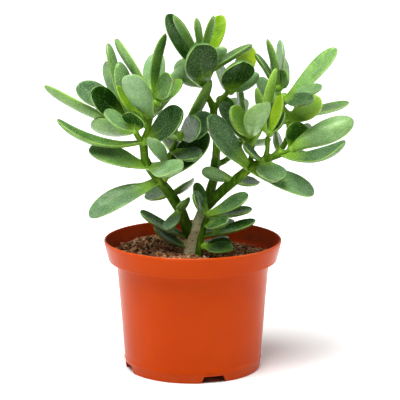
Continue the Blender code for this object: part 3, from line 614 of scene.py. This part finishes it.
def fine_leaf(leaf, rng):
    """The vertices, faces and surface values of one smooth leaf."""
    cuts = leaf["cuts"]
    places = [0.0] + [RING_PLACES[k] for k in reversed(range(len(cuts)))] + [1.0]
    middles = [leaf["joint"]] + [cut.middle for cut in reversed(cuts)] + [leaf["tip"]]
    stations = 1 - (1 - np.linspace(0, 1, STATIONS)) ** CROWDING
    line = smooth_through(places, middles, stations)
    widest = cuts[2]
    width, thick = widest.width, max(widest.depth, LEAST_CAD_THICKNESS) * THICKNESS
    ups = [cuts[-1].up] + [cut.up for cut in reversed(cuts)] + [cuts[0].up]
    ups = smooth_through(places, ups, stations)
    tangents = np.gradient(line, axis=0)
    tangents /= np.linalg.norm(tangents, axis=1)[:, None]
    twist = rng.uniform(-TWIST_REACH, TWIST_REACH)
    wave, phase = rng.uniform(*RIPPLE_REACH), rng.uniform(0, 6.3)
    lean = rng.uniform(-LEAN_REACH, LEAN_REACH)
    angles = np.linspace(0, 2 * np.pi, ROUND, endpoint=False)
    cross = np.cos(angles)
    envelope = np.clip(1 - np.abs(cross) ** MARGIN_POWER, 0, 1) ** 0.5 * np.sign(np.sin(angles))
    verts, values = [], []
    for t, middle, up, tangent in zip(stations, line, ups, tangents):
        up = up - tangent * (up @ tangent)
        up /= np.linalg.norm(up)
        across = np.cross(tangent, up)
        turn = twist * (t - 0.5)
        level, steep = math.cos(turn), math.sin(turn)
        across, up = across * level + up * steep, up * level - across * steep
        half = max(width * blade_share(t) / 2, LEAST_HALF_WIDTH)
        deep = max(thick * thickness_share(t), LEAST_DEPTH)
        ripple = wave * width * np.sin(t * 9 + phase + cross) * cross**2
        lift = LIFT * width * blade_share(t) * np.abs(cross) ** FOLD + ripple
        body = np.where(envelope > 0, TOP_SHARE * deep * envelope, (1 - TOP_SHARE) * deep * envelope)
        offset = cross * half * (1 + lean * np.sign(cross) * np.sin(np.pi * t))
        for x, z, c, e in zip(offset, lift + body, cross, envelope):
            verts.append(middle + across * x + up * z)
            values.append((t, c, float(e)))
    faces = []
    for s in range(STATIONS - 1):
        for i in range(ROUND):
            j = (i + 1) % ROUND
            faces.append((s * ROUND + j, s * ROUND + i, (s + 1) * ROUND + i, (s + 1) * ROUND + j))
    faces.append(tuple(range(ROUND)))
    faces.append(tuple((STATIONS - 1) * ROUND + i for i in reversed(range(ROUND))))
    return verts, faces, values


def joint_ring(leaves, rng):
    """The low swelling where a set's leaf bases are grown together."""
    joint = leaves[0]["joint"]
    reach = np.mean([leaf["cuts"][-1].width for leaf in leaves]) * JOINT_SHARE
    bm = bmesh.new()
    bmesh.ops.create_uvsphere(bm, u_segments=18, v_segments=10, radius=max(reach, LEAST_JOINT))
    verts = [np.array(v.co) * (1 + rng.uniform(-JOINT_REACH, JOINT_REACH)) + joint for v in bm.verts]
    faces = [tuple(v.index for v in f.verts) for f in bm.faces]
    bm.free()
    return verts, faces, [(0.0, 0.0, 0.5)] * len(verts)


def look_of(node, place, rng):
    """The tone and the wax of one leaf, by its place in its set; the tone holds painted light and shade, the
    wax painted sheen, besides the leaf's own colour.
    """
    looks = LOOKS.get(node, ())
    tone, wax_and_sheen = looks[place] if place < len(looks) else PLAIN_LOOK
    return tone + rng.uniform(-TONE_REACH, TONE_REACH), wax_and_sheen


def leaf_set(node, material, rng):
    """One piece with all the leaves of a CAD node; returns how many leaves it has."""
    leaves = find_leaves(node)
    if not leaves:
        set_material(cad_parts[node], material)
        print("no leaves found in", node)
        return 0
    shapes = []
    for place, leaf in enumerate(leaves):
        tone, wax_and_sheen = look_of(node, place, rng)
        shapes.append((fine_leaf(leaf, rng), tone, wax_and_sheen))
    shapes.append((joint_ring(leaves, rng), *JOINT_LOOK))
    verts, faces, values, tones, waxes_and_sheens = [], [], [], [], []
    for (v, f, a), tone, wax_and_sheen in shapes:
        faces += [tuple(i + len(verts) for i in face) for face in f]
        verts += v
        values += a
        tones += [tone] * len(v)
        waxes_and_sheens += [wax_and_sheen] * len(v)
    mesh = mesh_of("fine_" + node, verts, faces)
    along, across, upper = zip(*values)
    columns = {"along": along, "across": across, "upper": upper, "tone": tones, "wax_and_sheen": waxes_and_sheens}
    for name, column in columns.items():
        mesh.attributes.new(name, "FLOAT", "POINT").data.foreach_set("value", np.array(column, "f"))
    ob = add_object("fine_" + node, mesh)
    set_material(ob, material)
    stand_for(ob, "leaf", node)
    return len(leaves)


# --- pot -----------------------------------------------------------------------------------------------

def wall_radius(height):
    """The radius of the tapered wall's outer side."""
    top = POT_HEIGHT - BAND_HEIGHT
    return BASE_RADIUS + (SHOULDER_RADIUS - BASE_RADIUS) * height / top


def arc(centre, radius, start, end, steps):
    """Points on an arc in the (radius, height) plane, angles in degrees."""
    angles = np.radians(np.linspace(start, end, steps))
    return [(centre[0] + radius * math.cos(a), centre[1] + radius * math.sin(a)) for a in angles]


def pot_profile():
    """The pot's section, down its outer side and back up its inner side."""
    band = POT_HEIGHT - BAND_HEIGHT
    ledge = POT_HEIGHT - LEDGE_DEPTH
    low = RIM_RADIUS - BAND_TAPER
    floor = FLOOR_HEIGHT + WALL
    lip_middle = (RIM_RADIUS - LIP_RADIUS, POT_HEIGHT - LIP_RADIUS)
    # The rolled lip, the rim band and its rounded lower edge
    out = arc(lip_middle, LIP_RADIUS, 100, 0, 8)
    out += [(RIM_RADIUS - 0.25 * MM, POT_HEIGHT - 2.6 * MM), (RIM_RADIUS - 0.45 * MM, POT_HEIGHT - 3.4 * MM)]
    out += [(low + 0.35 * MM, band + 2 * MM)]
    out += arc((low - CORNER_RADIUS, band + CORNER_RADIUS), CORNER_RADIUS, 0, -90, 5)
    out += [(wall_radius(band) + 1.2 * MM, band)]
    out += [(wall_radius(band) + 0.35 * MM, band - 0.25 * MM), (wall_radius(band), band - 1.1 * MM)]
    # The wall, the bead above the foot, and the foot
    out += [(wall_radius(z * MM), z * MM) for z in (60, 45, 30, 18, 10)]
    out += [(wall_radius(z * MM) + proud * MM, z * MM) for z, proud in BEAD]
    out += [(wall_radius(1.2 * MM), 1.2 * MM)]
    out += [(BASE_RADIUS - 0.25 * MM, 0.0), (BASE_RADIUS - WALL + 0.2 * MM, 0.0)]
    # The raised bottom plate with its middle drain hole
    out += [(BASE_RADIUS - WALL, 0.3 * MM), (wall_radius(FLOOR_HEIGHT) - WALL, FLOOR_HEIGHT)]
    out += [(7 * MM, FLOOR_HEIGHT), (DRAIN_HOLE_RADIUS, FLOOR_HEIGHT + 0.4 * MM)]
    out += [(DRAIN_HOLE_RADIUS, floor - 0.2 * MM), (7 * MM, floor)]
    out += [(wall_radius(8 * MM) - WALL - 1.4 * MM, floor), (wall_radius(9 * MM) - WALL, 8.5 * MM)]
    # The inner side, with the ledge behind the rim band
    out += [(wall_radius(ledge) - WALL, ledge - 0.5 * MM), (wall_radius(ledge) - WALL + 0.5 * MM, ledge)]
    out += [(low - WALL - 0.9 * MM, ledge), (low - WALL - 0.4 * MM, ledge + 0.5 * MM)]
    out += [(low - WALL + 0.3 * MM, ledge + 2 * MM)]
    out += arc(lip_middle, LIP_RADIUS, 180, 100, 5)[:-1]
    return out


def face_outward(mesh):
    bm = bmesh.new()
    bm.from_mesh(mesh)
    bmesh.ops.recalc_face_normals(bm, faces=bm.faces)
    bm.to_mesh(mesh)
    bm.free()


def turned(name, profile, steps):
    """A closed section turned once round the pot's axis."""
    verts, faces = [], []
    count = len(profile)
    for s in range(steps):
        a = 2 * math.pi * s / steps
        verts += [(AXIS.x + r * math.cos(a), AXIS.y + r * math.sin(a), z) for r, z in profile]
    for s in range(steps):
        t = (s + 1) % steps
        for i in range(count):
            j = (i + 1) % count
            faces.append((s * count + i, t * count + i, t * count + j, s * count + j))
    mesh = mesh_of(name, verts, faces)
    face_outward(mesh)
    return add_object(name, mesh)


def slot_cutter(index):
    """A trapezoid bar through the foot, where one drain slot is cut."""
    low, half_low, half_top = -1 * MM, SLOT_BOTTOM / 2, SLOT_TOP / 2
    outline = ((-half_low, low), (half_low, low), (half_top, SLOT_HEIGHT), (-half_top, SLOT_HEIGHT))
    verts = []
    for radius in (BASE_RADIUS - WALL - SLOT_CUTTER_REACH, BASE_RADIUS + SLOT_CUTTER_REACH):
        verts += [(radius, across, height) for across, height in outline]
    faces = [(3, 2, 1, 0), (4, 5, 6, 7)] + [(i, (i + 1) % 4, 4 + (i + 1) % 4, 4 + i) for i in range(4)]
    mesh = mesh_of("slot", verts, faces, smooth=False)
    turn = Matrix.Rotation(SLOT_TURN + index * 2 * math.pi / SLOT_COUNT, 4, "Z")
    mesh.transform(Matrix.Translation(AXIS) @ turn)
    face_outward(mesh)
    return add_object(f"slot_{index}", mesh)


def apply_modifiers(ob):
    """The object's mesh as its modifiers leave it."""
    bpy.context.view_layer.update()
    mesh = bpy.data.meshes.new_from_object(ob.evaluated_get(bpy.context.evaluated_depsgraph_get()))
    ob.modifiers.clear()
    ob.data = mesh


def inner_faces(ob):
    """The faces that look towards the pot's axis, and the ledge, as against the outer side and the lip."""
    found = []
    for face in ob.data.polygons:
        out = Vector((face.center.x - AXIS.x, face.center.y - AXIS.y, 0.0))
        if out.length > 0 and face.normal.dot(out.normalized()) < -0.2:
            found.append(face)
        elif face.normal.z > 0.7 and face.center.z < POT_HEIGHT - 5 * MM:
            found.append(face)
    return found


def build_pot(outside, inside):
    """The moulded pot: turned, its foot cut by the drain slots, its inner faces given the inside finish with
    painted shade and soil stains.
    """
    pot = turned("fine_pot", pot_profile(), POT_ROUND)
    cutters = [slot_cutter(i) for i in range(SLOT_COUNT)]
    for cutter in cutters:
        cut = pot.modifiers.new("slot", "BOOLEAN")
        cut.operation = "DIFFERENCE"
        cut.solver = "EXACT"
        cut.object = cutter
    apply_modifiers(pot)
    for cutter in cutters:
        bpy.data.objects.remove(cutter, do_unlink=True)
    pot.data.set_sharp_from_angle(angle=SHARP_FROM)
    set_material(pot, outside)
    pot.data.materials.append(inside)
    for face in inner_faces(pot):
        face.material_index = 1
    stand_for(pot, "pot_plastic", "pot")


# --- soil ----------------------------------------------------------------------------------------------

def spill(angle):
    """How thick the soil lies on the pot's inner ledge: it leaves the ledge bare at the back right."""
    bare = math.cos(angle - LEDGE_BARE_AT)
    return SPILL * min(max((BARE_UNDER - bare) / 0.3, 0.0), 1.0)


class SoilTop:
    """The height of the soil's top: the CAD solid's inside the wall, and a thin spill over the ledge."""

    def __init__(self):
        bm = bmesh.new()
        bm.from_mesh(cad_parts["soil"].data)
        bm.transform(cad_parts["soil"].matrix_world)
        self.tree = BVHTree.FromBMesh(bm)
        bm.free()
        low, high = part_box("soil")
        self.bottom = low[2]
        self.radius = (high[0] - low[0]) / 2 - 0.6 * MM

    def inner(self, x, y):
        hit = self.tree.ray_cast(Vector((x, y, POT_HEIGHT + 0.02)), Vector((0, 0, -1)))
        return max(hit[0].z, LEAST_SOIL) if hit[0] else LEAST_SOIL

    def at(self, x, y):
        dx, dy = x - AXIS.x, y - AXIS.y
        reach = math.hypot(dx, dy)
        if reach <= self.radius:
            return self.inner(x, y)
        share = self.radius / reach
        inner = self.inner(AXIS.x + dx * share, AXIS.y + dy * share)
        thick = spill(math.atan2(dy, dx))
        ledge = POT_HEIGHT - LEDGE_DEPTH
        if thick <= 0:
            return ledge - 0.7 * MM
        out = min((reach - self.radius) / (SOIL_REACH - self.radius), 1.0)
        return inner + (ledge + thick - inner) * out


def ball():
    """A small round solid's vertices and faces."""
    bm = bmesh.new()
    bmesh.ops.create_icosphere(bm, subdivisions=2, radius=1.0)
    verts = np.array([v.co for v in bm.verts])
    faces = [tuple(v.index for v in f.verts) for f in bm.faces]
    bm.free()
    return verts, faces


def soil_filling(top):
    """The filling: a lumpy top over a plain body."""
    verts, tones = [], []
    for r in range(SOIL_RINGS + 1):
        for s in range(SOIL_GRID):
            a = 2 * math.pi * s / SOIL_GRID
            reach = SOIL_REACH * r / SOIL_RINGS
            x, y = AXIS.x + math.cos(a) * reach, AXIS.y + math.sin(a) * reach
            lump = noise.fractal(Vector((x, y, 0)) * LUMP_FINENESS, 0.6, 2.1, 4)
            verts.append((x, y, top.at(x, y) - LUMP_HEIGHT / 2 + lump * LUMP_HEIGHT))
            tones.append(0.25 + 0.25 * lump)
    low = POT_HEIGHT - LEDGE_DEPTH - 1.2 * MM
    for reach, z in ((SOIL_REACH, low), (top.radius - 1 * MM, low), (top.radius * 0.9, top.bottom)):
        for s in range(SOIL_GRID):
            a = 2 * math.pi * s / SOIL_GRID
            verts.append((AXIS.x + math.cos(a) * reach, AXIS.y + math.sin(a) * reach, z))
            tones.append(0.1)
    faces = []
    for r in range(SOIL_RINGS + 3):
        near, far = r * SOIL_GRID, (r + 1) * SOIL_GRID
        for s in range(SOIL_GRID):
            after = (s + 1) % SOIL_GRID
            faces.append((near + after, near + s, far + s, far + after))
    faces.append(tuple((SOIL_RINGS + 3) * SOIL_GRID + s for s in reversed(range(SOIL_GRID))))
    return verts, faces, tones


class Heap:
    """Vertices, faces and tones that end up in one piece."""

    def __init__(self, verts=(), faces=(), tones=()):
        self.verts, self.faces, self.tones = list(verts), list(faces), list(tones)

    def add(self, v, f, tone):
        self.faces.extend(tuple(i + len(self.verts) for i in face) for face in f)
        self.verts.extend(v)
        self.tones.extend([tone] * len(v))

    def piece(self, name, material):
        mesh = mesh_of(name, self.verts, self.faces)
        mesh.attributes.new("tone", "FLOAT", "POINT").data.foreach_set("value", np.array(self.tones, "f"))
        ob = add_object(name, mesh)
        set_material(ob, material)
        return ob


def crumb(shape, top, rng):
    """A jagged lump on the soil: its vertices, or nothing where the ledge stays bare."""
    a, share = rng.uniform(0, 2 * math.pi), math.sqrt(rng.uniform(0, 1))
    reach = (SOIL_REACH - RIM_GAP) * share
    if reach > top.radius and spill(a) <= 0.3 * MM and rng.uniform() < 0.8:
        return None
    x, y = AXIS.x + math.cos(a) * reach, AXIS.y + math.sin(a) * reach
    z = top.at(x, y)
    size = min(float(rng.gamma(2.0, 0.30)) * MM + LEAST_CRUMB, BIGGEST_CRUMB)
    stretch = np.array([rng.uniform(0.7, 1.4), rng.uniform(0.6, 1.1), rng.uniform(0.45, 0.9)]) * size
    seed = Vector((a * 9, x * 900, y * 900))
    jag = 1 + 0.32 * np.array([noise.noise(Vector(v * 1.9) + seed) for v in shape])
    turn = np.array(Matrix.Rotation(rng.uniform(0, 6.28), 3, Vector(rng.normal(size=3)).normalized()))
    middle = (x, y, z - 0.1 * MM + rng.uniform(0, 0.5) * size)
    verts = (shape * jag[:, None] * stretch) @ turn.T + middle
    return [tuple(p) for p in verts]


def fibre_path(top, rng):
    """A coir fibre's bent course over the soil, and how thick it is."""
    a, share = rng.uniform(0, 2 * math.pi), math.sqrt(rng.uniform(0, 1))
    reach = SOIL_REACH * share * 0.93
    x, y = AXIS.x + math.cos(a) * reach, AXIS.y + math.sin(a) * reach
    heading, length = rng.uniform(0, 6.28), rng.uniform(3, 10) * MM
    bend, thick = rng.uniform(-1.3, 1.3), rng.uniform(0.10, 0.26) * MM
    arch = rng.uniform(0, 1.2) * MM
    path = []
    for k in range(FIBRE_POINTS):
        s = k / (FIBRE_POINTS - 1)
        way = heading + bend * s
        px = x + math.cos(way) * length * (s - 0.5)
        py = y + math.sin(way) * length * (s - 0.5)
        if math.hypot(px - AXIS.x, py - AXIS.y) > SOIL_REACH - RIM_GAP:
            break
        path.append(np.array((px, py, top.at(px, py) + 0.6 * MM + arch * math.sin(math.pi * s))))
    return path, thick


def build_soil(material, rng):
    """Two pieces: the filling with the fibres and every third crumb, and the rest of the crumbs."""
    top = SoilTop()
    filling, crumbs = Heap(*soil_filling(top)), Heap()
    ball_verts, ball_faces = ball()
    for k in range(CRUMBS):
        verts = crumb(ball_verts, top, rng)
        if verts:
            heap = filling if k % 3 == 0 else crumbs
            heap.add(verts, ball_faces, float(np.clip(rng.beta(1.7, 2.2), 0, 1)))
    for _ in range(FIBRES):
        path, thick = fibre_path(top, rng)
        if len(path) >= 4:
            filling.add(*thread(path, thick), float(rng.uniform(0.6, 1.0)))
    stand_for(filling.piece("fine_soil", material), "soil", "soil")
    stand_for(crumbs.piece("soil_crumbs", material), "soil")


def thread(path, thick, sides=5):
    """A thin tube through the points."""
    verts, faces = [], []
    for k, p in enumerate(path):
        way = path[min(k + 1, len(path) - 1)] - path[max(k - 1, 0)]
        way /= np.linalg.norm(way)
        side = np.cross(way, (0, 0, 1.0))
        side /= np.linalg.norm(side)
        up = np.cross(side, way)
        for i in range(sides):
            a = 2 * math.pi * i / sides
            verts.append(tuple(p + (side * math.cos(a) + up * math.sin(a)) * thick))
    for k in range(len(path) - 1):
        for i in range(sides):
            j = (i + 1) % sides
            faces.append((k * sides + j, k * sides + i, (k + 1) * sides + i, (k + 1) * sides + j))
    faces.append(tuple(range(sides)))
    faces.append(tuple((len(path) - 1) * sides + i for i in reversed(range(sides))))
    return verts, faces


# --- stems ---------------------------------------------------------------------------------------------

def finish_stem(name, material):
    """The CAD stem keeps its place and its mesh; modifiers round it and give it lumps."""
    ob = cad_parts[name]
    remesh = ob.modifiers.new("skin", "REMESH")
    remesh.mode = "VOXEL"
    remesh.voxel_size = SKIN_VOXEL
    remesh.use_smooth_shade = True
    relax = ob.modifiers.new("relax", "SMOOTH")
    relax.factor = 0.5
    relax.iterations = RELAX_ROUNDS
    lumps = bpy.data.textures.new(name + "_lumps", "CLOUDS")
    lumps.noise_scale = SWELLING_SIZE
    shift = ob.modifiers.new("lumps", "DISPLACE")
    shift.texture = lumps
    shift.texture_coords = "LOCAL"
    shift.strength = SWELLING_HEIGHT
    shift.mid_level = 0.5
    set_material(ob, material)


# --- room ----------------------------------------------------------------------------------------------

def area_light(name, place, size, power):
    target = Vector((AXIS.x, AXIS.y, LIGHTS_AIM_HEIGHT))
    data = bpy.data.lights.new(name, "AREA")
    data.shape = "RECTANGLE"
    data.size, data.size_y = size
    data.energy = power
    ob = bpy.data.objects.new(name, data)
    ob.location = place
    ob.rotation_euler = (target - Vector(place)).to_track_quat("-Z", "Y").to_euler()
    ob.visible_camera = False
    bpy.context.scene.collection.objects.link(ob)


def studio_world():
    """Bright behind the plant, dimmer in front of it and overhead: shiny faces show dark and light."""
    world = bpy.data.worlds.new("studio")
    world.use_nodes = True
    tree = world.node_tree
    coords = tree.nodes.new("ShaderNodeTexCoord")
    split = tree.nodes.new("ShaderNodeSeparateXYZ")
    tree.links.new(coords.outputs["Generated"], split.inputs[0])
    spans = []
    for axis, start, end, before, after in BACKDROP:
        made = tree.nodes.new("ShaderNodeMapRange")
        made.interpolation_type = "SMOOTHSTEP"
        tree.links.new(split.outputs[axis], made.inputs["Value"])
        for name, number in (("From Min", start), ("From Max", end), ("To Min", before), ("To Max", after)):
            made.inputs[name].default_value = number
        spans.append(made.outputs["Result"])
    times = tree.nodes.new("ShaderNodeMath")
    times.operation = "MULTIPLY"
    tree.links.new(spans[0], times.inputs[0])
    tree.links.new(spans[1], times.inputs[1])
    tree.links.new(times.outputs[0], tree.nodes["Background"].inputs["Strength"])
    tree.nodes["Background"].inputs["Color"].default_value = (1.0, 1.0, 1.0, 1.0)
    bpy.context.scene.world = world


def build_room():
    studio_world()
    for light in LIGHTS:
        area_light(*light)
    bm = bmesh.new()
    bmesh.ops.create_grid(bm, x_segments=4, y_segments=4, size=FLOOR_SIZE)
    mesh = bpy.data.meshes.new("floor")
    bm.to_mesh(mesh)
    bm.free()
    floor = add_object("floor", mesh)
    floor.location = (0, 0, -FLOOR_DROP)
    set_material(floor, floor_material())


def build_camera():
    data = bpy.data.cameras.new("camera")
    data.lens = LENS
    data.sensor_width = SENSOR
    data.clip_end = FARTHEST_SEEN
    ob = bpy.data.objects.new("camera", data)
    ob.location = (AXIS.x + CAMERA_SIDE, AXIS.y - CAMERA_BACK, CAMERA_HEIGHT)
    ob.rotation_euler = (math.pi / 2 - CAMERA_TILT, 0.0, 0.0)
    bpy.context.scene.collection.objects.link(ob)
    bpy.context.scene.camera = ob


def main():
    rng = np.random.default_rng(SEED)
    bpy.context.scene.view_settings.view_transform = "Standard"
    bpy.context.scene.view_settings.look = "Medium High Contrast"
    build_camera()
    build_room()
    build_pot(pot_material("orange_plastic", False), pot_material("orange_plastic_inside", True))
    build_soil(soil_material(), rng)
    woody, green = stem_material("woody_stem", True), stem_material("green_stem", False)
    finish_stem("main_stem", woody)
    for name in ("left_branch", "right_branch", "basal_shoot"):
        finish_stem(name, green)
    leaf = leaf_material()
    total = 0
    for node in sorted(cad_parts):
        if node.endswith(("_pair", "_tip")):
            total += leaf_set(node, leaf, rng)
    print("leaves", total)


main()
